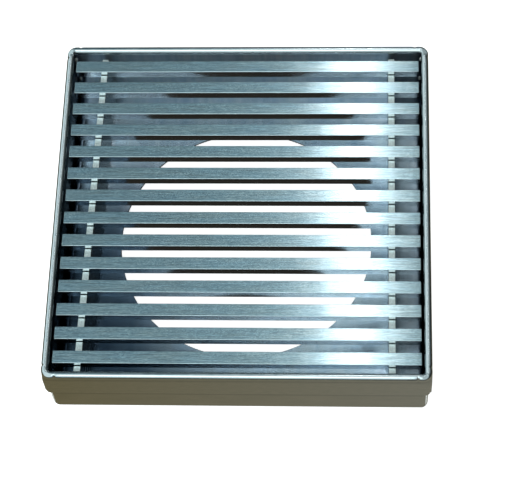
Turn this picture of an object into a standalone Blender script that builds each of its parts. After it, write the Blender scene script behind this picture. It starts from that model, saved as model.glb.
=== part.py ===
"""A square stainless floor drain: a folded tray, a rolled rim and a grate that lifts out.

Metres, +Z up. The origin is the centre of the tray's underside. The bars run along X, and the
front of the drain faces -Y.
"""

import math

import bmesh
import bpy
from mathutils import Matrix, Vector

# Overall sizes of the drain.
RIM_WIDTH = 0.1150
HEIGHT = 0.0250
GAP = 0.0003

# The tray: a folded sheet with a round outlet.
TRAY_WIDTH = 0.1134
TRAY_SHEET = 0.0006
TRAY_BEND = 0.0025
TRAY_LEAST_CORNER = 0.0001
OUTLET_RADIUS = 0.0395
OUTLET_X = 0.0002
OUTLET_Y = -0.0004
OUTLET_SEGMENTS = 96
SEAM_WIDTH = 0.0004
SEAM_START = 0.0030

# The rim: a rolled bead, and a skirt outside the tray wall.
BEAD_WIDTH = 0.0023
SKIRT_SHEET = 0.0005
SKIRT_DEPTH = 0.0119
CORNER_RADIUS = 0.0029
SKIRT_CORNER_RADIUS = 0.0014

# The grate: flat bars let into two plates that stand on edge.
BAR_COUNT = 14
BAR_PITCH = 0.00775
BAR_WIDTH = 0.0040
BAR_HEIGHT = 0.0032
BAR_LENGTH = 0.1088
BAR_EDGE = 0.00015
BAR_TOP = HEIGHT - 0.0011
PLATE_THICKNESS = 0.0020
PLATE_LENGTH = 0.1084
PLATE_TOP = BAR_TOP - 0.0019
NOTCH_CLEARANCE = 0.0002
LEFT_PLATE_X = -0.0463
RIGHT_PLATE_X = 0.0458
LEFT_PLATE_SKEW = math.radians(-0.9)

# Tack welds in the tray's corners.
CORNER_WELD_RADIUS = 0.0006
CORNER_WELD_LENGTH = 0.0020
CORNER_WELD_HEIGHTS = {"low": 0.0091, "high": 0.0204}
WELD_SEGMENTS = 8
WELD_RINGS = 5

# Sizes that follow from those above.
BEAD_RADIUS = BEAD_WIDTH / 2
CORNER_CENTRE = RIM_WIDTH / 2 - CORNER_RADIUS
SKIRT_CORNER_CENTRE = RIM_WIDTH / 2 - SKIRT_CORNER_RADIUS
TRAY_INSIDE = TRAY_WIDTH / 2 - TRAY_SHEET
TRAY_TOP = HEIGHT - BEAD_WIDTH - GAP
BAR_BOTTOM = BAR_TOP - BAR_HEIGHT
PLATE_BOTTOM = TRAY_SHEET + GAP


def clear_scene():
    for old in list(bpy.data.objects):
        bpy.data.objects.remove(old, do_unlink=True)


def make_material(name, colour, roughness):
    material = bpy.data.materials.new(name)
    material.use_nodes = True
    shader = material.node_tree.nodes["Principled BSDF"]
    shader.inputs["Base Color"].default_value = (*colour, 1.0)
    shader.inputs["Roughness"].default_value = roughness
    shader.inputs["Metallic"].default_value = 1.0
    material.diffuse_color = (*colour, 1.0)
    return material


def make_empty(name):
    empty = bpy.data.objects.new(name, None)
    bpy.context.collection.objects.link(empty)
    return empty


def add_object(name, bm, material, parent=None):
    """Turn a bmesh into a named object with outward faces."""
    bmesh.ops.recalc_face_normals(bm, faces=bm.faces)
    mesh = bpy.data.meshes.new(name)
    bm.to_mesh(mesh)
    bm.free()
    if material:
        mesh.materials.append(material)
    obj = bpy.data.objects.new(name, mesh)
    bpy.context.collection.objects.link(obj)
    obj.parent = parent
    return obj


def loft(bm, rings):
    """Join equal rings of points into a closed tube with flat ends."""
    rows = [[bm.verts.new(point) for point in ring] for ring in rings]
    count = len(rows[0])
    for row, after in zip(rows, rows[1:]):
        for i in range(count):
            j = (i + 1) % count
            bm.faces.new((row[i], row[j], after[j], after[i]))
    bm.faces.new(rows[0])
    bm.faces.new(rows[-1])


def arc(centre, radius, start, end, steps):
    """Points on an arc, with angles in degrees."""
    angles = [math.radians(start + (end - start) * i / steps) for i in range(steps + 1)]
    return [(centre[0] + radius * math.cos(a), centre[1] + radius * math.sin(a)) for a in angles]


def add_cutter(obj, name, bm):
    """Cut a shape out of an object with a hidden Boolean cutter."""
    cutter = add_object(name, bm, None)
    cutter.hide_render = True
    cutter.display_type = "WIRE"
    cut = obj.modifiers.new(name, "BOOLEAN")
    cut.operation = "DIFFERENCE"
    cut.solver = "EXACT"
    cut.object = cutter


# ------------------------------------------------------------------------------ tray

def rounded_square(half_width, height):
    """A square ring of points whose corners share the bead's corner centres where they can."""
    radius = max(half_width - CORNER_CENTRE, TRAY_LEAST_CORNER)
    centre = half_width - radius
    ring = []
    for quarter in range(4):
        turn = Matrix.Rotation(math.radians(90 * quarter), 3, "Z")
        for x, y in arc((centre, centre), radius, 0, 90, 3):
            ring.append(turn @ Vector((x, y, height)))
    return ring


def tray_profile():
    """Half width and height up the outside of the tray and down its inside."""
    bend_centre = (TRAY_WIDTH / 2 - TRAY_BEND, TRAY_BEND)
    outside = arc(bend_centre, TRAY_BEND, -90, 0, 3)
    inside = arc(bend_centre, TRAY_BEND - TRAY_SHEET, 0, -90, 3)
    return outside + [(TRAY_WIDTH / 2, TRAY_TOP), (TRAY_INSIDE, TRAY_TOP)] + inside


def make_tray(material, parent):
    bm = bmesh.new()
    loft(bm, [rounded_square(half, height) for half, height in tray_profile()])
    tray = add_object("tray_pan", bm, material, parent)
    outlet = bmesh.new()
    bmesh.ops.create_cone(
        outlet,
        cap_ends=True,
        segments=OUTLET_SEGMENTS,
        radius1=OUTLET_RADIUS,
        radius2=OUTLET_RADIUS,
        depth=TRAY_SHEET * 6,
        matrix=Matrix.Translation((OUTLET_X, OUTLET_Y, 0)),
    )
    add_cutter(tray, "outlet_cutter", outlet)
    for name, angle in (("seam_cutter_a", 45), ("seam_cutter_b", -45)):
        seam = bmesh.new()
        size = Matrix.Diagonal((RIM_WIDTH * 2, SEAM_WIDTH, HEIGHT, 1))
        place = Matrix.Translation((0, 0, SEAM_START + HEIGHT / 2))
        turn = Matrix.Rotation(math.radians(angle), 4, "Z")
        bmesh.ops.create_cube(seam, size=1.0, matrix=place @ turn @ size)
        add_cutter(tray, name, seam)


# ------------------------------------------------------------------------------- rim

def rim_profile():
    """Half width, height and corner centre of each point round the bead and down the skirt."""
    bead_centre = (RIM_WIDTH / 2 - BEAD_RADIUS, HEIGHT - BEAD_RADIUS)
    skirt_inside = RIM_WIDTH / 2 - SKIRT_SHEET
    meeting = math.degrees(math.acos((skirt_inside - bead_centre[0]) / BEAD_RADIUS))
    bead = arc(bead_centre, BEAD_RADIUS, 360 - meeting, 90, 7)[:-1]
    bead += arc(bead_centre, BEAD_RADIUS, 90, 0, 4)
    skirt_bottom = HEIGHT - SKIRT_DEPTH
    curl = arc((skirt_inside, skirt_bottom + SKIRT_SHEET), SKIRT_SHEET, 0, -90, 3)
    section = [(*point, CORNER_CENTRE) for point in bead]
    return section + [(*point, SKIRT_CORNER_CENTRE) for point in curl]


def rim_corner(profile, side):
    """Section rings round half a corner, ending flat against the mitre plane."""
    back_off = GAP / 2 * math.sqrt(0.5)
    rings = []
    for angle, shift in ((0, 0), (14, 0), (28, 0), (45, back_off)):
        slope = math.radians(angle)
        along, outward = math.sin(slope), math.cos(slope)
        rings.append([
            Vector((
                side * (centre + (half - centre) * along - shift),
                -centre - (half - centre) * outward - shift,
                height,
            ))
            for half, height, centre in profile
        ])
    return rings


def make_rim(name, angle, material, parent):
    """One side of the rim, modelled at the front and turned into place."""
    profile = rim_profile()
    rings = list(reversed(rim_corner(profile, -1))) + rim_corner(profile, 1)
    bm = bmesh.new()
    loft(bm, rings)
    bmesh.ops.rotate(bm, verts=bm.verts, matrix=Matrix.Rotation(math.radians(angle), 3, "Z"))
    rim = add_object(name, bm, material, parent)
    rim.data.shade_smooth()
    rim.data.set_sharp_from_angle(angle=math.radians(40))


# ----------------------------------------------------------------------------- grate

def bar_centre_y(index):
    """The first bar is at the front."""
    return (index - (BAR_COUNT - 1) / 2) * BAR_PITCH


def make_bar(index, material, parent):
    bm = bmesh.new()
    size = Matrix.Diagonal((BAR_LENGTH, BAR_WIDTH, BAR_HEIGHT, 1))
    bmesh.ops.create_cube(bm, size=1.0, matrix=size)
    bar = add_object(f"bar_{index + 1:02d}", bm, material, parent)
    bar.location = (0, bar_centre_y(index), BAR_TOP - BAR_HEIGHT / 2)
    bevel = bar.modifiers.new("edges", "BEVEL")
    bevel.width = BAR_EDGE
    bevel.segments = 1
    bevel.limit_method = "ANGLE"


def plate_outline():
    """Side view of a support plate, with a notch for each bar."""
    half_notch = BAR_WIDTH / 2 + NOTCH_CLEARANCE
    notch_floor = BAR_BOTTOM - GAP
    outline = [(-PLATE_LENGTH / 2, PLATE_BOTTOM), (-PLATE_LENGTH / 2, PLATE_TOP)]
    for index in range(BAR_COUNT):
        y = bar_centre_y(index)
        outline.append((y - half_notch, PLATE_TOP))
        outline.append((y - half_notch, notch_floor))
        outline.append((y + half_notch, notch_floor))
        outline.append((y + half_notch, PLATE_TOP))
    outline += [(PLATE_LENGTH / 2, PLATE_TOP), (PLATE_LENGTH / 2, PLATE_BOTTOM)]
    return outline


def make_plate(name, x, skew, material, parent):
    bm = bmesh.new()
    outline = plate_outline()
    sides = (-PLATE_THICKNESS / 2, PLATE_THICKNESS / 2)
    loft(bm, [[Vector((side, y, z)) for y, z in outline] for side in sides])
    plate = add_object(name, bm, material, parent)
    plate.location = (x, 0, 0)
    plate.rotation_euler = (0, 0, skew)


# ---------------------------------------------------------------------- corner welds

def make_corner_weld(name, x, y, height, material, parent):
    """A tack in an inside corner of the tray, over the open seam."""
    bm = bmesh.new()
    radii = (CORNER_WELD_RADIUS, CORNER_WELD_RADIUS, CORNER_WELD_LENGTH / 2)
    bmesh.ops.create_uvsphere(
        bm,
        u_segments=WELD_SEGMENTS,
        v_segments=WELD_RINGS,
        radius=1.0,
        matrix=Matrix.Diagonal((*radii, 1)),
    )
    weld = add_object(name, bm, material, parent)
    weld.location = (x, y, height)
    weld.data.shade_smooth()


def make_corner_welds(material, parent):
    reach = TRAY_INSIDE - GAP - CORNER_WELD_RADIUS
    for row, y in (("front", -reach), ("back", reach)):
        for side, x in (("left", -reach), ("right", reach)):
            for level, height in CORNER_WELD_HEIGHTS.items():
                make_corner_weld(f"corner_weld_{row}_{side}_{level}", x, y, height, material, parent)


def build():
    clear_scene()
    sheet = make_material("tray_sheet", (0.42, 0.46, 0.48), 0.30)
    rolled = make_material("rolled_rim", (0.62, 0.66, 0.66), 0.25)
    brushed = make_material("brushed_bar", (0.50, 0.58, 0.61), 0.35)
    cut_plate = make_material("cut_plate", (0.60, 0.63, 0.62), 0.45)
    weld = make_material("weld_metal", (0.48, 0.47, 0.44), 0.50)
    frame = make_empty("frame")
    grate = make_empty("grate")

    make_tray(sheet, frame)
    for name, angle in (("front", 0), ("right", 90), ("back", 180), ("left", 270)):
        make_rim(f"rim_{name}", angle, rolled, frame)
    make_corner_welds(weld, frame)

    for index in range(BAR_COUNT):
        make_bar(index, brushed, grate)
    make_plate("support_plate_left", LEFT_PLATE_X, LEFT_PLATE_SKEW, cut_plate, grate)
    make_plate("support_plate_right", RIGHT_PLATE_X, 0.0, cut_plate, grate)


build()
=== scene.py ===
"""Looks for the square floor drain: brushed bars, cut plates, a rolled rim and a folded tray."""

import math
import random

import bmesh
import bpy
from mathutils import Matrix, Vector, noise


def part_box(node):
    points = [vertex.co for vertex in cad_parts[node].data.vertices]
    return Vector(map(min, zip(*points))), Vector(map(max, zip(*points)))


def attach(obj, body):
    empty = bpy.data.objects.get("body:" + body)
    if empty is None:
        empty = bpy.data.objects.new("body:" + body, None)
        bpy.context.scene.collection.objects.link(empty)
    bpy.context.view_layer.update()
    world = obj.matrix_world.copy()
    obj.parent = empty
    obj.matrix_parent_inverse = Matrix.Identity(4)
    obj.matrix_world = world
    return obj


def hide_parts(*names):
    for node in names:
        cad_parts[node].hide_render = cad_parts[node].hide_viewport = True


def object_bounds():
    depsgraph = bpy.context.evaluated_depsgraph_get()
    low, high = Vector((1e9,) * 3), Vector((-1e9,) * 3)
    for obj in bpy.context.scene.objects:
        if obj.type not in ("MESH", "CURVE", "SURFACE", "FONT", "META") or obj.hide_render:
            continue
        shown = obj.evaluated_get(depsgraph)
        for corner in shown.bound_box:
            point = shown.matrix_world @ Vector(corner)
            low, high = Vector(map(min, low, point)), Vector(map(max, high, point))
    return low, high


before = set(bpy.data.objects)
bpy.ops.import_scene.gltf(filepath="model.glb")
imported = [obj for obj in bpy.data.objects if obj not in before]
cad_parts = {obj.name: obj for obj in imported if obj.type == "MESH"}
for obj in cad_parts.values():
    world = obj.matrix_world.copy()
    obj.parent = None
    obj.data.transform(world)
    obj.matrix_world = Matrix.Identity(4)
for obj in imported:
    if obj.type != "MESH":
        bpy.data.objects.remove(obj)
CAD_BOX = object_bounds()
noise.seed_set(1)  # noise_vector would differ from run to run without it
RIM_WIDTH = CAD_BOX[1].x - CAD_BOX[0].x
RIM_HALF = RIM_WIDTH / 2
RIM_TOP = CAD_BOX[1].z
MM = 0.001
BARS = sorted(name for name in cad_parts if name.startswith("bar_"))
CAD_GAP = 0.3 * MM

# The rim and its corners.
BEAD_RADIUS = 1.15 * MM
BEAD_MIDDLE = RIM_TOP - BEAD_RADIUS
BEAD_CORNER = 2.9 * MM
CORNER_CENTRE = RIM_HALF - BEAD_CORNER
CORNER_STEPS = 11
MITRE_GAP = 0.01 * MM
NOTCH_X = RIM_HALF - 4.2 * MM
NOTCH_WIDTH = 0.30 * MM
NOTCH_DEPTH = 0.32 * MM
NOTCH_ROWS = (-0.6, -0.4, -0.2, 0, 0.2, 0.4, 0.6)
GRIND_REACH = 2.2 * MM
GRIND_DEPTH = 0.10 * MM
RIM_STEPS = 40

# The skirt that hangs from the bead, and the tab at each of its corners.
SKIRT_SHEET = 0.5 * MM
SKIRT_CORNER = 1.4 * MM
SKIRT_BLEND = 4.0 * MM
SKIRT_TOP = RIM_TOP - 2.6 * MM
SKIRT_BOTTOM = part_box("rim_front")[0].z
# How far down the skirt its rows are: close together near the bead, where its corner tightens.
SKIRT_SHARES = (0.02, 0.06, 0.12, 0.18, 0.25, 0.33, 0.42, 0.55, 0.70, 0.85, 0.95)
TAB_RADIUS = 1.8 * MM
TAB_INSET = 0.4 * MM
TAB_TOP = RIM_TOP - 6 * MM
# A faint groove down the skirt beside the tab, five steps into the corner.
TAB_SEAM = 1 + 5 / CORNER_STEPS
TAB_SEAM_DEPTH = 0.16 * MM

# The tray.
TRAY_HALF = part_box("tray_pan")[1].x
TRAY_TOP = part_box("tray_pan")[1].z
TRAY_SHEET = 0.6 * MM
TRAY_BEND = 2.5 * MM
BEND_STEPS = 10
EDGE_STEPS = 36
SEAM_START = 3.0 * MM
SEAM_STEPS = 26
OUTLET_RADIUS = 39.5 * MM
OUTLET_X = 0.2 * MM
OUTLET_Y = -0.4 * MM
OUTLET_EDGE = 0.2 * MM

# The grate.
BAR_EDGE = 0.14 * MM
BAR_CUTS = 47
PLATE_THICKNESS = 2.0 * MM
PLATE_EDGE = 0.12 * MM
NOTCH_CLEARANCE = 0.2 * MM
LEFT_PLATE_SKEW = math.radians(-0.9)


# --------------------------------------------------------------------------- camera

# The photo's angle, with every length as a share of the rim's width.
CAMERA_AZIMUTH = math.radians(6.986)
CAMERA_ELEVATION = math.radians(62.661)
CAMERA_ROLL = math.radians(-6.022)
CAMERA_DISTANCE = 5.1208 * RIM_WIDTH
CAMERA_TARGET = Vector((0.04165 * RIM_WIDTH, -0.1005 * RIM_WIDTH, RIM_TOP))
CAMERA_LENS = 137.01


def make_camera():
    back = Vector((
        math.sin(CAMERA_AZIMUTH) * math.cos(CAMERA_ELEVATION),
        -math.cos(CAMERA_AZIMUTH) * math.cos(CAMERA_ELEVATION),
        math.sin(CAMERA_ELEVATION),
    ))
    level = (-back).cross(Vector((0, 0, 1))).normalized()
    raised = level.cross(-back)
    right = level * math.cos(CAMERA_ROLL) + raised * math.sin(CAMERA_ROLL)
    up = raised * math.cos(CAMERA_ROLL) - level * math.sin(CAMERA_ROLL)
    data = bpy.data.cameras.new("camera")
    data.lens = CAMERA_LENS
    data.sensor_width = 36
    data.clip_start = 0.01
    camera = bpy.data.objects.new("camera", data)
    bpy.context.scene.collection.objects.link(camera)
    turn = Matrix((right, up, back)).transposed().to_4x4()
    camera.matrix_world = Matrix.Translation(CAMERA_TARGET + back * CAMERA_DISTANCE) @ turn
    bpy.context.scene.camera = camera


# ------------------------------------------------------------------ wiring of nodes

class Wiring:
    """A node tree being put together, for a material or for the world."""

    def __init__(self, tree):
        self.tree = tree

    def node(self, kind, **settings):
        made = self.tree.nodes.new(kind)
        for key, value in settings.items():
            setattr(made, key, value)
        return made

    def feed(self, socket, value):
        """Link a socket to another one, or set it to a number or an RGB colour."""
        if isinstance(value, bpy.types.NodeSocket):
            self.tree.links.new(value, socket)
        elif isinstance(value, tuple):
            socket.default_value = (*value, 1)
        else:
            socket.default_value = value

    def part(self, vector, axis):
        """One coordinate of a vector."""
        split = self.node("ShaderNodeSeparateXYZ")
        self.feed(split.inputs[0], vector)
        return split.outputs[axis]

    def ramp(self, source, low, high, start=0.3, end=0.7, curve="LINEAR"):
        """A number that runs from low to high as source runs from start to end."""
        ramp = self.node("ShaderNodeMapRange", clamp=True, interpolation_type=curve)
        self.feed(ramp.inputs["Value"], source)
        self.feed(ramp.inputs["From Min"], start)
        self.feed(ramp.inputs["From Max"], end)
        self.feed(ramp.inputs["To Min"], low)
        self.feed(ramp.inputs["To Max"], high)
        return ramp.outputs["Result"]

    def maths(self, operation, *values):
        made = self.node("ShaderNodeMath", operation=operation)
        for socket, value in zip(made.inputs, values):
            self.feed(socket, value)
        return made.outputs["Value"]

    def product(self, *factors):
        """All the numbers multiplied together."""
        result = factors[0]
        for factor in factors[1:]:
            result = self.maths("MULTIPLY", result, factor)
        return result

    def mix(self, factor, first, second, mode="MIX"):
        mix = self.node("ShaderNodeMix", data_type="RGBA", blend_type=mode)
        self.feed(mix.inputs["Factor"], factor)
        self.feed(mix.inputs["A"], first)
        self.feed(mix.inputs["B"], second)
        return mix.outputs["Result"]


# ------------------------------------------------------------------ floor and light

FLOOR_HALF = 20.0
FLOOR_GLOW = (0.90, 0.90, 0.90)
LEFT_GROUND = (0.176, 0.146, 0.080)
RIGHT_GROUND = (0.232, 0.214, 0.166)
SHADE = (0.020, 0.018, 0.015)


def make_plane(name, half, height):
    mesh = bpy.data.meshes.new(name)
    corners = [(-half, -half, height), (half, -half, height), (half, half, height), (-half, half, height)]
    mesh.from_pydata(corners, [], [(0, 1, 2, 3)])
    plane = bpy.data.objects.new(name, mesh)
    bpy.context.scene.collection.objects.link(plane)
    return plane


def glowing_material(name, colour, diffuse=0.0):
    """Even light of its own, so that it shows the same in every reflection."""
    material = bpy.data.materials.new(name)
    material.use_nodes = True
    shader = material.node_tree.nodes["Principled BSDF"]
    shader.inputs["Base Color"].default_value = (diffuse, diffuse, diffuse, 1)
    shader.inputs["Roughness"].default_value = 1.0
    shader.inputs["Specular IOR Level"].default_value = 0.0
    shader.inputs["Emission Color"].default_value = (*colour, 1)
    shader.inputs["Emission Strength"].default_value = 1.0
    return material


def grade_across(material, left, right):
    """Let the glow of a material run from one colour to another along X, across the object."""
    wiring = Wiring(material.node_tree)
    place = wiring.node("ShaderNodeNewGeometry").outputs["Position"]
    share = wiring.ramp(wiring.part(place, "X"), 0, 1, -RIM_HALF, RIM_HALF)
    glow = material.node_tree.nodes["Principled BSDF"].inputs["Emission Color"]
    wiring.feed(glow, wiring.mix(share, left, right))


def only_reflected(card):
    card.visible_camera = False
    card.visible_diffuse = False
    card.visible_shadow = False


def make_floor():
    """A pale floor that reflections miss, and darker cards on it that only reflections see."""
    floor = make_plane("floor", FLOOR_HALF, -0.1 * MM)
    floor.data.materials.append(glowing_material("pale_floor", FLOOR_GLOW, diffuse=0.9))
    floor.visible_glossy = False
    floor.visible_shadow = False
    ground = make_plane("reflected_ground", 2.2 * RIM_HALF, -0.3 * MM)
    ground_glow = glowing_material("ground", LEFT_GROUND)
    grade_across(ground_glow, LEFT_GROUND, RIGHT_GROUND)
    ground.data.materials.append(ground_glow)
    only_reflected(ground)
    shade = make_plane("reflected_shade", 0.97 * RIM_HALF, -0.2 * MM)
    shade.data.materials.append(glowing_material("shade", SHADE))
    only_reflected(shade)


STRIP_PLACE = Vector((29.2, 550, 1050)) * MM
STRIP_AIM = Vector((29.2, 0, 0)) * MM
STRIP_WIDTH = 20 * MM
STRIP_LENGTH = 500 * MM
STRIP_POWER = 0.38


def make_strip_light():
    """A long narrow light behind the drain, which shows as the bright stretch on every bar."""
    data = bpy.data.lights.new("strip_light", "AREA")
    data.shape = "RECTANGLE"
    data.size = STRIP_WIDTH
    data.size_y = STRIP_LENGTH
    data.energy = STRIP_POWER
    light = bpy.data.objects.new("strip_light", data)
    bpy.context.scene.collection.objects.link(light)
    light.location = STRIP_PLACE
    light.rotation_euler = (STRIP_AIM - STRIP_PLACE).to_track_quat("-Z", "Y").to_euler()


EAST, NORTH, ZENITH = (1, 0, 0), (0, 1, 0), (0, 0, 1)
NEAR_SIDE = (0.05, -0.46, 0.886)
PLAIN_LIGHT = (0.82, 0.97, 1.0)
COOL_LIGHT = (0.56, 0.86, 1.0)


class Sky(Wiring):
    """The world's light by direction, built from smooth steps along an axis."""

    def __init__(self):
        world = bpy.data.worlds.new("studio")
        bpy.context.scene.world = world
        world.use_nodes = True
        super().__init__(world.node_tree)
        self.direction = self.node("ShaderNodeTexCoord").outputs["Generated"]

    def step(self, axis, start, end, low, high):
        """A step from low to high as the direction's reach along an axis goes from start to end."""
        dot = self.node("ShaderNodeVectorMath", operation="DOT_PRODUCT")
        self.feed(dot.inputs[0], self.direction)
        dot.inputs[1].default_value = axis
        return self.ramp(dot.outputs["Value"], low, high, start, end, "SMOOTHSTEP")

    def finish(self, strength, colour):
        background = self.tree.nodes["Background"]
        self.feed(background.inputs["Strength"], strength)
        self.feed(background.inputs["Color"], colour)


def make_sky():
    """Brightest on the near side, dim low down and on the right, with a dim cool band behind."""
    sky = Sky()
    band = sky.product(
        sky.step(EAST, -0.36, -0.20, 0, 1),
        sky.step(EAST, -0.12, 0.10, 1, 0),
        sky.step(NORTH, -0.05, 0.30, 0, 1),
    )
    horizon = sky.step(ZENITH, 0.02, 0.34, 0.03, 1.0)
    near_side = sky.step(NEAR_SIDE, 0.94, 0.998, 1.0, 3.6)
    right_of_middle = sky.step(EAST, 0.006, 0.040, 1.0, 0.50)
    far_right = sky.step(EAST, 0.10, 0.85, 1.0, 0.10)
    far_side = sky.step(NORTH, 0.55, 0.90, 1.0, 0.35)
    dimmed = sky.maths("SUBTRACT", 1.0, sky.product(band, 0.76))
    strength = sky.product(horizon, near_side, right_of_middle, far_right, far_side, dimmed)
    sky.finish(strength, sky.mix(band, PLAIN_LIGHT, COOL_LIGHT))


# ------------------------------------------------------------------------- materials

class Finish(Wiring):
    """A Principled material being put together from texture nodes."""

    def __init__(self, name, colour, roughness, metallic=1.0):
        self.material = bpy.data.materials.new(name)
        self.material.use_nodes = True
        super().__init__(self.material.node_tree)
        self.shader = self.tree.nodes["Principled BSDF"].inputs
        self.feed(self.shader["Base Color"], colour)
        self.feed(self.shader["Roughness"], roughness)
        self.feed(self.shader["Metallic"], metallic)
        self.place = self.node("ShaderNodeTexCoord").outputs["Object"]

    def noise(self, cell, detail=2.0, roughness=0.5):
        """Noise whose blobs have the given size in metres along X, Y and Z."""
        mapping = self.node("ShaderNodeMapping")
        mapping.inputs["Scale"].default_value = [1 / size for size in cell]
        self.feed(mapping.inputs["Vector"], self.place)
        texture = self.node("ShaderNodeTexNoise")
        self.feed(texture.inputs["Vector"], mapping.outputs["Vector"])
        self.feed(texture.inputs["Scale"], 1.0)
        self.feed(texture.inputs["Detail"], detail)
        self.feed(texture.inputs["Roughness"], roughness)
        return texture.outputs["Fac"]

    def along(self, axis):
        """The distance along an axis from the middle of the drain's underside."""
        return self.part(self.place, axis)

    def tones(self, source, low, high):
        """A colour that runs from low to high with the middle of a noise."""
        return self.mix(self.ramp(source, 0, 1), low, high)

    def tinted(self, *colours):
        """All the colours multiplied together."""
        result = colours[0]
        for colour in colours[1:]:
            result = self.mix(1.0, result, colour, "MULTIPLY")
        return result

    def colour(self, source):
        self.feed(self.shader["Base Color"], source)

    def roughness(self, source):
        self.feed(self.shader["Roughness"], source)

    def bump(self, source, height, after=None):
        """Raise the surface by up to height where source is 1, on top of another bump."""
        bump = self.node("ShaderNodeBump")
        self.feed(bump.inputs["Strength"], 1.0)
        self.feed(bump.inputs["Distance"], height)
        self.feed(bump.inputs["Height"], source)
        if after:
            self.feed(bump.inputs["Normal"], after)
        self.feed(self.shader["Normal"], bump.outputs["Normal"])
        return bump.outputs["Normal"]

    def brushed(self, anisotropy=1.0):
        """Stretch highlights across the brushing, along the U of the grain map."""
        tangent = self.node("ShaderNodeTangent", direction_type="UV_MAP", uv_map="grain")
        self.feed(self.shader["Anisotropic"], anisotropy)
        self.feed(self.shader["Tangent"], tangent.outputs["Tangent"])


PLAIN = (1.0, 1.0, 1.0)

# Shade is painted on the tray's base: it thins out to the right and to the rear, and starts again past
# the plate.
SHADE_LEFT, SHADE_RIGHT = -34 * MM, 26 * MM
SHADE_FRONT, SHADE_REAR = 4 * MM, 46 * MM
PAST_PLATE, PAST_PLATE_FULL = 45.2 * MM, 47.0 * MM


def brushed_top():
    """Fine streaks and grain along the bar, in slow clouds of tone."""
    finish = Finish("brushed_bar_top", (0.48, 0.58, 0.61), 0.21)
    streaks = finish.noise((7 * MM, 0.20 * MM, 0.20 * MM), detail=4, roughness=0.7)
    grain = finish.noise((0.60 * MM, 0.24 * MM, 0.24 * MM), detail=3, roughness=0.6)
    clouds = finish.noise((12 * MM, 2.5 * MM, 2.5 * MM), detail=3)
    tone = finish.ramp(streaks, 0.60, 1.16)
    tint = finish.tones(grain, (0.46, 0.59, 0.65), (0.70, 0.81, 0.85))
    cloudy = finish.tones(clouds, (0.90, 0.98, 1.0), (1.0, 1.0, 0.96))
    finish.colour(finish.tinted(tint, tone, cloudy))
    finish.roughness(finish.ramp(grain, 0.18, 0.25))
    finish.bump(grain, 0.0035 * MM)
    finish.brushed()
    return finish.material


def drawn_side():
    """Drawn lines along the bar."""
    finish = Finish("drawn_bar_side", (0.70, 0.74, 0.76), 0.12)
    lines = finish.noise((9 * MM, 0.25 * MM, 0.25 * MM), detail=2)
    finish.colour(finish.tones(lines, (0.76, 0.83, 0.87), (0.88, 0.92, 0.94)))
    finish.roughness(finish.ramp(lines, 0.08, 0.18))
    finish.bump(lines, 0.001 * MM)
    return finish.material


def cut_end():
    """Saw lines across the end of a bar."""
    finish = Finish("sawn_bar_end", (0.62, 0.66, 0.67), 0.38)
    lines = finish.noise((0.3 * MM, 0.3 * MM, 0.08 * MM), detail=2)
    finish.colour(finish.tones(lines, (0.52, 0.57, 0.58), (0.72, 0.76, 0.77)))
    finish.roughness(finish.ramp(lines, 0.30, 0.50))
    finish.bump(lines, 0.006 * MM)
    return finish.material


def cut_plate():
    """The mottled edge of a plate cut from sheet."""
    finish = Finish("cut_plate", (0.70, 0.75, 0.73), 0.42)
    mottle = finish.noise((0.5 * MM, 0.5 * MM, 0.5 * MM), detail=4, roughness=0.65)
    finish.colour(finish.tones(mottle, (0.42, 0.48, 0.46), (0.88, 0.92, 0.89)))
    finish.roughness(finish.ramp(mottle, 0.34, 0.52))
    finish.bump(mottle, 0.02 * MM)
    return finish.material


def plate_face():
    """Smooth sheet with smears."""
    finish = Finish("plate_face", (0.52, 0.58, 0.60), 0.20)
    smears = finish.noise((4 * MM, 9 * MM, 3 * MM), detail=4, roughness=0.6)
    finish.colour(finish.tones(smears, (0.44, 0.50, 0.52), (0.58, 0.64, 0.66)))
    finish.roughness(finish.ramp(smears, 0.15, 0.28))
    return finish.material


def rolled_rim():
    """Bare rolled sheet, with shade painted darker where the skirt meets the bead."""
    finish = Finish("rolled_rim", (0.62, 0.67, 0.68), 0.18)
    mottle = finish.noise((2.5 * MM, 2.5 * MM, 1.0 * MM), detail=4, roughness=0.6)
    pits = finish.noise((0.5 * MM, 0.5 * MM, 0.5 * MM), detail=2)
    skin = finish.tones(mottle, (0.59, 0.65, 0.66), (0.68, 0.72, 0.73))
    # Painted shade: a darker band where the skirt meets the bead.
    bead_root_shade = finish.ramp(finish.along("Z"), 0, 1, RIM_TOP - 3.6 * MM, RIM_TOP - 2.2 * MM)
    bead = finish.ramp(finish.along("Z"), 0, 1, RIM_TOP - 2.0 * MM, RIM_TOP - 1.4 * MM)
    shade = finish.mix(bead, finish.mix(bead_root_shade, PLAIN, (0.80, 0.82, 0.83)), PLAIN)
    finish.colour(finish.tinted(skin, shade))
    finish.roughness(finish.ramp(mottle, 0.14, 0.24))
    finish.bump(pits, 0.0015 * MM, finish.bump(mottle, 0.005 * MM))
    return finish.material


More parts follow.
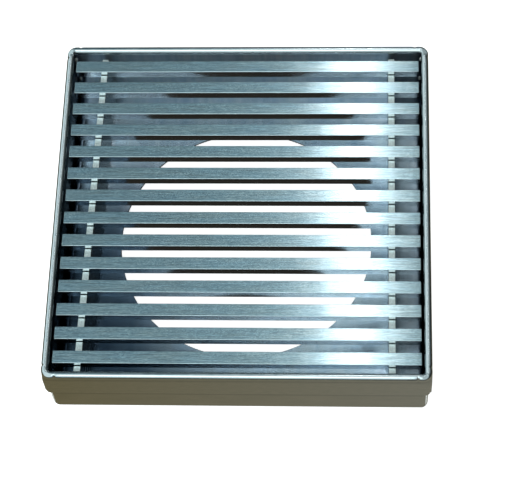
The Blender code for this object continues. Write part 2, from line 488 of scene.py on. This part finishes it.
def tray_inside():
    """Brushed sheet with painted shade, darkest to the left, past the right plate and on the walls."""
    finish = Finish("tray_inside", (0.46, 0.53, 0.56), 0.27)
    smears = finish.noise((1.6 * MM, 30 * MM, 30 * MM), detail=3, roughness=0.6)
    clouds = finish.noise((9 * MM, 14 * MM, 9 * MM), detail=3)
    sheet = finish.tones(smears, (0.70, 0.80, 0.85), (0.92, 0.96, 0.98))
    cloudy = finish.tones(clouds, (0.88, 0.93, 1.0), (1.0, 1.0, 0.98))
    # Painted shade on the base, darkest to the left and to the front.
    left = finish.ramp(finish.along("X"), 1, 0, SHADE_LEFT, SHADE_RIGHT)
    front = finish.ramp(finish.along("Y"), 1, 0.15, SHADE_FRONT, SHADE_REAR)
    base_shade = finish.mix(finish.product(left, front), (0.72, 0.74, 0.77), (0.06, 0.08, 0.105))
    # Painted shade on and near the side walls.
    off_centre = finish.maths("ABSOLUTE", finish.along("X"))
    wall = finish.ramp(off_centre, 0, 1, TRAY_HALF - 3.4 * MM, TRAY_HALF - 1.6 * MM)
    wall_shade = finish.mix(wall, PLAIN, (0.26, 0.28, 0.34))
    # Painted shade on the base past the right plate.
    right_shade = finish.ramp(finish.along("X"), 1.0, 0.38, PAST_PLATE, PAST_PLATE_FULL)
    finish.colour(finish.tinted(sheet, cloudy, base_shade, wall_shade, right_shade))
    rear = finish.ramp(finish.along("Y"), 0, 1, TRAY_HALF - 2.0 * MM, TRAY_HALF - 1.2 * MM)
    finish.roughness(finish.mix(rear, finish.ramp(clouds, 0.14, 0.21), (0.34, 0.34, 0.34)))
    finish.brushed(0.8)
    return finish.material


def tray_outside():
    """Smooth sheet, with shade painted darker where the skirt ends."""
    finish = Finish("tray_outside", (0.60, 0.64, 0.66), 0.16)
    smears = finish.noise((14 * MM, 14 * MM, 5 * MM), detail=4, roughness=0.6)
    sheet = finish.tones(smears, (0.60, 0.65, 0.66), (0.68, 0.72, 0.73))
    # Painted shade: darker from just below the skirt's lower edge upward.
    line = finish.ramp(finish.along("Z"), 0, 1, SKIRT_BOTTOM - 3.0 * MM, SKIRT_BOTTOM - 1.6 * MM)
    finish.colour(finish.tinted(sheet, finish.mix(line, PLAIN, (0.78, 0.80, 0.82))))
    finish.roughness(finish.ramp(smears, 0.12, 0.22))
    finish.bump(smears, 0.004 * MM)
    return finish.material


def weld_metal():
    """Pale fused metal with a fine ripple."""
    finish = Finish("weld_metal", (0.85, 0.84, 0.80), 0.36, metallic=0.25)
    ripple = finish.noise((0.3 * MM, 0.3 * MM, 0.3 * MM), detail=3)
    finish.colour(finish.tones(ripple, (0.72, 0.70, 0.65), (0.96, 0.96, 0.94)))
    finish.roughness(finish.ramp(ripple, 0.22, 0.40))
    finish.bump(ripple, 0.02 * MM)
    return finish.material


# --------------------------------------------------------------------------- pieces

def add_piece(name, bm, materials, body, slot, *nodes):
    mesh = bpy.data.meshes.new(name)
    bm.to_mesh(mesh)
    bm.free()
    for material in materials:
        mesh.materials.append(material)
    piece = bpy.data.objects.new(name, mesh)
    bpy.context.scene.collection.objects.link(piece)
    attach(piece, body)
    if nodes:
        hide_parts(*nodes)
    return piece


def finish_smooth(piece, angle):
    piece.data.shade_smooth()
    piece.data.set_sharp_from_angle(angle=math.radians(angle))


def flatten_faces(piece):
    """Let the large faces keep their own normals and the narrow edge faces do the rounding."""
    modifier = piece.modifiers.new("flat_faces", "WEIGHTED_NORMAL")
    modifier.keep_sharp = True
    modifier.weight = 90


def map_grain(bm, across):
    """Lay the grain map so that U runs across the brushing, which follows X along the sheet."""
    grain = bm.loops.layers.uv.new("grain")
    for face in bm.faces:
        u, v = across(face.normal)
        for loop in face.loops:
            loop[grain].uv = (loop.vert.co[u] / RIM_WIDTH, loop.vert.co[v] / RIM_WIDTH)


def arc(centre, radius, start, end, steps):
    """Points on an arc, with angles in degrees."""
    angles = [math.radians(start + (end - start) * i / steps) for i in range(steps + 1)]
    return [(centre[0] + radius * math.cos(a), centre[1] + radius * math.sin(a)) for a in angles]


def bridge(bm, ring, after, skip=()):
    """Faces between two equal rings of vertices."""
    count = len(ring)
    for i in range(count):
        if i not in skip:
            j = (i + 1) % count
            bm.faces.new((ring[i], ring[j], after[j], after[i]))


def close_body(bm, rings):
    """A closed body round a run of rings, with a face over each end."""
    for ring, after in zip(rings, rings[1:]):
        bridge(bm, ring, after)
    bm.faces.new(rings[0])
    bm.faces.new(rings[-1])
    bmesh.ops.recalc_face_normals(bm, faces=bm.faces)


# ----------------------------------------------------------------------------- bars

def make_bar(name, index, materials):
    """A flat bar with worn edges and a slight bow along its length."""
    low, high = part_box(name)
    draw = random.Random(index)
    centre, size = (low + high) / 2, high - low
    bm = bmesh.new()
    bmesh.ops.create_cube(bm, size=1.0, matrix=Matrix.Translation(centre) @ Matrix.Diagonal((*size, 1)))
    bmesh.ops.bevel(bm, geom=bm.edges, offset=BAR_EDGE, segments=3, profile=0.5, affect="EDGES")
    long_edges = [e for e in bm.edges if abs(e.verts[0].co.x - e.verts[1].co.x) > size.x / 2]
    bmesh.ops.subdivide_edges(bm, edges=long_edges, cuts=BAR_CUTS)
    bow = draw.uniform(0.01, 0.04) * MM
    phase = draw.uniform(0, math.tau)
    for vert in bm.verts:
        along = vert.co.x / size.x * math.tau
        wear = noise.noise(Vector((vert.co.x / (2.2 * MM), index * 7.3, vert.co.y / MM)))
        vert.co.z -= bow * (1 + math.sin(along + phase)) / 2 + 0.012 * MM * (1 + wear)
    for face in bm.faces:
        if face.normal.z > 0.9:
            face.material_index = 0
        elif abs(face.normal.x) > 0.9:
            face.material_index = 2
        else:
            face.material_index = 1
    map_grain(bm, lambda normal: (1, 0))
    piece = add_piece(f"brushed_{name}", bm, materials, "grate", "brushed_bar", name)
    finish_smooth(piece, 35)
    flatten_faces(piece)


# --------------------------------------------------------------------------- plates

def plate_outline(low, high, bars):
    """Side view of a support plate between two heights, with a notch for each bar."""
    outline = [(low.y, low.z), (low.y, high.z)]
    for bar_low, bar_high in bars:
        front, back = bar_low.y - NOTCH_CLEARANCE, bar_high.y + NOTCH_CLEARANCE
        notch_floor = bar_low.z - CAD_GAP
        outline += [(front, high.z), (front, notch_floor), (back, notch_floor), (back, high.z)]
    return outline + [(high.y, high.z), (high.y, low.z)]


def make_plate(node, skew, materials):
    """A plate on edge, cut with notches and turned by the skew. Returns its place."""
    low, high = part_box(node)
    outline = plate_outline(low, high, [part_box(name) for name in BARS])
    bm = bmesh.new()
    sides = [
        [bm.verts.new((x, y, z)) for y, z in outline]
        for x in (-PLATE_THICKNESS / 2, PLATE_THICKNESS / 2)
    ]
    close_body(bm, sides)
    bmesh.ops.bevel(bm, geom=bm.edges, offset=PLATE_EDGE, segments=2, profile=0.5, affect="EDGES")
    for face in bm.faces:
        face.material_index = 1 if abs(face.normal.x) > 0.9 else 0
    place = Matrix.Translation(((low.x + high.x) / 2, 0, 0)) @ Matrix.Rotation(skew, 4, "Z")
    bmesh.ops.transform(bm, matrix=place, verts=bm.verts)
    name = f"notched_{node.removeprefix('support_')}"
    piece = add_piece(name, bm, materials, "grate", "cut_plate", node)
    finish_smooth(piece, 35)
    flatten_faces(piece)
    return place


def make_bar_welds(node, place, material):
    """Fused metal under each bar, on both faces of a plate."""
    draw = random.Random(node)
    bm = bmesh.new()
    for name in BARS:
        low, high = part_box(name)
        for facing in (-1, 1):
            x = facing * PLATE_THICKNESS / 2
            y = (low.y + high.y) / 2 + draw.uniform(-0.5, 0.5) * MM
            size = Vector((0.5 * MM, draw.uniform(0.8, 1.2) * MM, 0.45 * MM))
            spot = place @ Matrix.Translation((x, y, low.z - 0.05 * MM)) @ Matrix.Diagonal((*size, 1))
            drop = bmesh.ops.create_icosphere(bm, subdivisions=3, radius=1.0, matrix=spot)
            for vert in drop["verts"]:
                vert.co += 0.07 * MM * noise.noise_vector(vert.co / (0.35 * MM))
                vert.co.z = min(vert.co.z, low.z + 0.3 * MM)
    side = node.removeprefix("support_plate_")
    piece = add_piece(f"bar_welds_{side}", bm, [material], "grate", "weld_metal")
    finish_smooth(piece, 60)


# ----------------------------------------------------------------------------- tray

def tray_ring(bm, half, height):
    """A rounded square of vertices, in quarters of an arc and a straight run."""
    radius = max(half - CORNER_CENTRE, 0.15 * MM)
    centre = half - radius
    points = arc((centre, centre), radius, 0, 90, CORNER_STEPS)
    for step in range(1, EDGE_STEPS):
        points.append((centre - 2 * centre * step / EDGE_STEPS, half))
    ring = []
    for quarter in range(4):
        turn = Matrix.Rotation(math.radians(90 * quarter), 3, "Z")
        ring += [bm.verts.new(turn @ Vector((x, y, height))) for x, y in points]
    return ring


def outlet_ring(bm, square, radius, height):
    """A circle of vertices, each in line with a vertex of a square ring."""
    ring = []
    for vert in square:
        angle = math.atan2(vert.co.y - OUTLET_Y, vert.co.x - OUTLET_X)
        place = (OUTLET_X + radius * math.cos(angle), OUTLET_Y + radius * math.sin(angle), height)
        ring.append(bm.verts.new(place))
    return ring


def bridge_with_slits(bm, rings, first, last):
    """Join the rings all round the sheet, with a slit in each corner from ring first to ring last."""
    slits = [CORNER_STEPS // 2 + quarter * (CORNER_STEPS + EDGE_STEPS) for quarter in range(4)]
    for index, (ring, after) in enumerate(zip(rings, rings[1:] + rings[:1])):
        bridge(bm, ring, after, skip=slits if first <= index < last else ())
    for column in slits:
        start, end = rings[first], rings[last]
        bm.faces.new((start[column], start[column + 1], end[column + 1], end[column]))
        for side in (column, column + 1):
            bm.faces.new([ring[side] for ring in rings[first:last + 1]])


def tray_grain(normal):
    """The axes across and along the brushing of a wall or of the base."""
    if abs(normal.y) > 0.7:
        return 2, 0
    if abs(normal.x) > 0.7:
        return 1, 2
    return 1, 0


def make_tray(materials):
    """The folded tray: wall, lip, base, outlet edge and underside, with slits up the corners."""
    bend = (TRAY_HALF - TRAY_BEND, TRAY_BEND)
    outside = arc(bend, TRAY_BEND, -90, 0, BEND_STEPS) + [(TRAY_HALF, SEAM_START)]
    lip = arc((TRAY_HALF - TRAY_SHEET / 2, TRAY_TOP - TRAY_SHEET / 2), TRAY_SHEET / 2, 0, 180, 6)
    inside = [(TRAY_HALF - TRAY_SHEET, SEAM_START)]
    inside += arc(bend, TRAY_BEND - TRAY_SHEET, 0, -90, BEND_STEPS)
    bm = bmesh.new()
    wall = [tray_ring(bm, half, height) for half, height in outside + lip + inside]
    edge_middle = OUTLET_RADIUS + OUTLET_EDGE
    edge = arc((edge_middle, TRAY_SHEET - OUTLET_EDGE), OUTLET_EDGE, 90, 180, 4)
    edge += arc((edge_middle, OUTLET_EDGE), OUTLET_EDGE, 180, 270, 4)
    outlet = [outlet_ring(bm, wall[-1], radius, height) for radius, height in edge]
    bridge_with_slits(bm, wall + outlet, len(outside) - 1, len(outside) + len(lip))
    bmesh.ops.recalc_face_normals(bm, faces=bm.faces)
    for face in bm.faces:
        centre = face.calc_center_median()
        reach = max(abs(centre.x), abs(centre.y))
        inner = reach < TRAY_HALF - TRAY_SHEET + 0.01 * MM and face.normal.z > -0.5
        face.material_index = 0 if inner and centre.z > TRAY_SHEET / 2 else 1
    map_grain(bm, tray_grain)
    piece = add_piece("folded_tray", bm, materials, "frame", "tray_sheet", "tray_pan")
    finish_smooth(piece, 35)


# ------------------------------------------------------------------------------ rim

def corner_path(radius, share):
    """A point on a corner's outline, some share of the way to its diagonal, and outward from it."""
    centre = RIM_HALF - radius
    straight = centre - CORNER_CENTRE
    way = share * (straight + radius * math.pi / 4)
    if way < straight:
        return Vector((CORNER_CENTRE + way, RIM_HALF)), Vector((0, 1))
    angle = (way - straight) / radius
    outward = Vector((math.sin(angle), math.cos(angle)))
    return Vector((centre, centre)) + radius * outward, outward


def rim_section():
    """Depth inside the outline and height of each point round the bead and down the skirt."""
    middle = (BEAD_RADIUS, BEAD_MIDDLE)
    meeting = math.degrees(math.acos((BEAD_RADIUS - SKIRT_SHEET) / BEAD_RADIUS))
    section = arc(middle, BEAD_RADIUS, 180 + meeting, 450, 30)[:-1]
    section += arc(middle, BEAD_RADIUS, 90, 180, 12)
    section += [(0, BEAD_MIDDLE - (BEAD_MIDDLE - SKIRT_BOTTOM) * share) for share in SKIRT_SHARES]
    return section + arc((SKIRT_SHEET / 2, SKIRT_BOTTOM + SKIRT_SHEET / 2), SKIRT_SHEET / 2, 180, 360, 6)


def clamp(share):
    return min(max(share, 0), 1)


def corner_radius(height):
    """The outline's corner radius: wide round the bead, and sharper down the skirt."""
    drop = clamp((BEAD_MIDDLE - height) / SKIRT_BLEND)
    blend = drop * drop * (3 - 2 * drop)
    return BEAD_CORNER + (SKIRT_CORNER - BEAD_CORNER) * blend


def tab_lift(place, height):
    """How far the skirt's lower edge rises to round off the tab at the corner."""
    past = clamp((TAB_RADIUS - (RIM_HALF - place.x - TAB_INSET)) / TAB_RADIUS) * TAB_RADIUS
    lift = TAB_RADIUS - math.sqrt(TAB_RADIUS ** 2 - past ** 2)
    return lift * max(0, (TAB_TOP - height) / (TAB_TOP - SKIRT_BOTTOM))


def rim_ring(bm, section, side, station):
    """One ring of a rim strip. A station over 1 is a share of the way round the corner."""
    ring = []
    for depth, height in section:
        if station <= 1:
            place, outward = Vector((CORNER_CENTRE * station, RIM_HALF)), Vector((0, 1))
        else:
            place, outward = corner_path(corner_radius(height), station - 1)
        point = place - depth * outward
        if station == 2:
            point -= Vector((1, 1)) * MITRE_GAP
        if depth == 0 and abs(station - TAB_SEAM) < 0.5 / CORNER_STEPS:
            fall = clamp((SKIRT_TOP - height) / (SKIRT_TOP - SKIRT_BOTTOM))
            point -= outward * TAB_SEAM_DEPTH * math.sin(math.pi * fall) ** 0.5
        ring.append(bm.verts.new((side * point.x, -point.y, height + tab_lift(place, height))))
    return ring


def notch_bead(vert):
    """Pinch the outer side of the bead where it was cut for the corner."""
    away = abs(abs(vert.co.x) - NOTCH_X) / NOTCH_WIDTH
    rise = (vert.co.z - BEAD_MIDDLE) / BEAD_RADIUS
    outer = max(0, -vert.co.y - (RIM_HALF - BEAD_RADIUS)) / BEAD_RADIUS
    if rise > -0.3:
        depth = NOTCH_DEPTH * math.exp(-away * away) * outer
        vert.co.y += depth
        vert.co.z -= depth * max(rise, 0) * 0.5


def grind_corner(vert, turn):
    """Take the top off the bead's corner with a flat facet that leans to the front."""
    lean = turn.inverted() @ Vector((0, -0.30, 0))
    normal = (Vector((math.copysign(0.16, vert.co.x), -0.10, 0.94)) + lean).normalized()
    corner = CORNER_CENTRE + (BEAD_CORNER - BEAD_RADIUS) * math.sqrt(0.5)
    centre = Vector((math.copysign(corner, vert.co.x), -corner, BEAD_MIDDLE))
    if (vert.co - centre).length < GRIND_REACH:
        excess = (vert.co - centre).dot(normal) - (BEAD_RADIUS - GRIND_DEPTH)
        if excess > 0:
            vert.co -= normal * excess


def make_rim(side, angle, material):
    """One side of the rim, modelled at the front and turned into place."""
    section = rim_section()
    near_notch = [(NOTCH_X + shift * MM) / CORNER_CENTRE for shift in NOTCH_ROWS]
    straight = [step / RIM_STEPS for step in range(RIM_STEPS) if step / RIM_STEPS < near_notch[0]]
    corner = [1 + step / CORNER_STEPS for step in range(CORNER_STEPS + 1)]
    stations = straight + near_notch + corner
    bm = bmesh.new()
    rings = [rim_ring(bm, section, -1, station) for station in reversed(stations[1:])]
    rings += [rim_ring(bm, section, 1, station) for station in stations]
    close_body(bm, rings)
    turn = Matrix.Rotation(math.radians(angle), 3, "Z")
    for vert in bm.verts:
        notch_bead(vert)
        grind_corner(vert, turn)
    bmesh.ops.rotate(bm, verts=bm.verts, matrix=turn)
    piece = add_piece(f"rolled_{side}", bm, [material], "frame", "rolled_rim", side)
    finish_smooth(piece, 40)


# ---------------------------------------------------------------------------- welds

def number_from(text):
    """A steady number between 0 and 10 from a name."""
    return sum(ord(letter) * (place + 1) for place, letter in enumerate(text)) % 97 / 9.7


def make_corner_weld(node, material):
    """A small uneven blob in an inside corner of the tray."""
    low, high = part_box(node)
    shift = Vector((number_from(node), number_from(node[::-1]), 0))
    bm = bmesh.new()
    place = Matrix.Translation((low + high) / 2) @ Matrix.Diagonal((*(high - low) / 2, 1))
    bmesh.ops.create_icosphere(bm, subdivisions=4, radius=0.93, matrix=place)
    for vert in bm.verts:
        vert.co += 0.05 * MM * noise.noise_vector(vert.co / (0.5 * MM) + shift)
    piece = add_piece(f"fused_{node}", bm, [material], "frame", "weld_metal", node)
    finish_smooth(piece, 60)


def make_seam_weld(name, sign_x, sign_y, material):
    """A thin uneven run of weld that closes a corner of the tray on its outside."""
    diagonal = CORNER_CENTRE + (TRAY_HALF - CORNER_CENTRE) * math.sqrt(0.5)
    seam_length = SKIRT_BOTTOM + 2.5 * MM - SEAM_START
    bm = bmesh.new()
    rings = []
    for step in range(SEAM_STEPS + 1):
        share = step / SEAM_STEPS
        height = SEAM_START + seam_length * share
        wave = noise.noise(Vector((height / (0.8 * MM), sign_x * 3.1, sign_y * 5.7)))
        taper = math.sin(math.pi * min(max(share, 0.04), 0.96)) ** 0.3
        radius = (0.26 + 0.07 * wave) * MM * taper
        circle = arc((diagonal, diagonal), radius, 0, 360, 10)[:-1]
        rings.append([bm.verts.new((sign_x * x, sign_y * y, height)) for x, y in circle])
    close_body(bm, rings)
    piece = add_piece(f"seam_weld_{name}", bm, [material], "frame", "weld_metal")
    finish_smooth(piece, 60)


def build():
    make_camera()
    make_floor()
    make_sky()
    make_strip_light()
    bpy.context.scene.view_settings.view_transform = "Standard"
    bar_materials = [brushed_top(), drawn_side(), cut_end()]
    for index, name in enumerate(BARS):
        make_bar(name, index, bar_materials)
    plate_materials = [cut_plate(), plate_face()]
    weld = weld_metal()
    for node, skew in (("support_plate_left", LEFT_PLATE_SKEW), ("support_plate_right", 0.0)):
        place = make_plate(node, skew, plate_materials)
        make_bar_welds(node, place, weld)
    make_tray([tray_inside(), tray_outside()])
    rim = rolled_rim()
    for side, angle in (("rim_front", 0), ("rim_right", 90), ("rim_back", 180), ("rim_left", 270)):
        make_rim(side, angle, rim)
    for node in sorted(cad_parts):
        if node.startswith("corner_weld"):
            make_corner_weld(node, weld)
    for row, sign_y in (("front", -1), ("back", 1)):
        for side, sign_x in (("left", -1), ("right", 1)):
            make_seam_weld(f"{row}_{side}", sign_x, sign_y, weld)


build()
